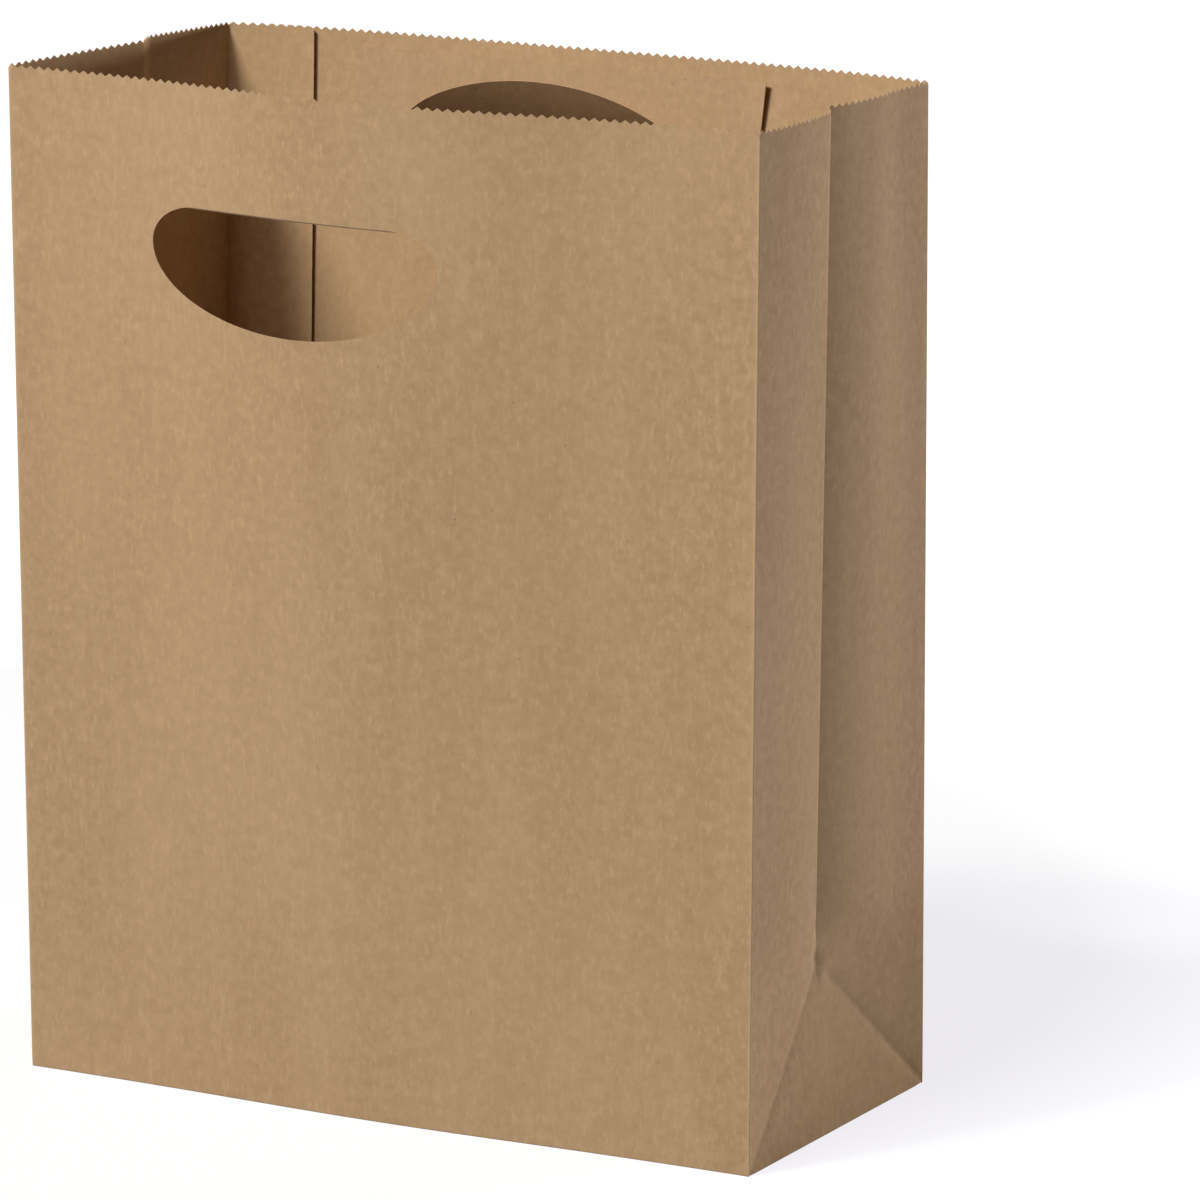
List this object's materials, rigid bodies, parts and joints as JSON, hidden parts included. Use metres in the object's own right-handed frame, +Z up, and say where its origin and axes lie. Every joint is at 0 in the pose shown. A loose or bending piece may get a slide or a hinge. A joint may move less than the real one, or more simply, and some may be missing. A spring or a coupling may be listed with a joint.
{
  "type": "paper bag",
  "caption": "Open kraft paper carrier bag with pleated side gussets, a folded block bottom, a pinked rim and a die-cut hand hole in each wide panel.",
  "frame": {"origin": "middle of the base, on the surface that the bag stands on", "axes": "+Z up, +X to the right along the wide panels as seen from the front, +Y from the front panel to the back panel"},
  "size_m": [0.2313, 0.1185, 0.28],
  "materials": {
    "kraft_paper": "matte brown kraft with fine fibres",
    "patch_paper": "matte, slightly greyer kraft"
  },
  "bodies": {
    "root": {"bag_body": "kraft_paper", "back_handle_patch": "patch_paper", "front_handle_patch": "patch_paper"}
  },
  "joints": []
}
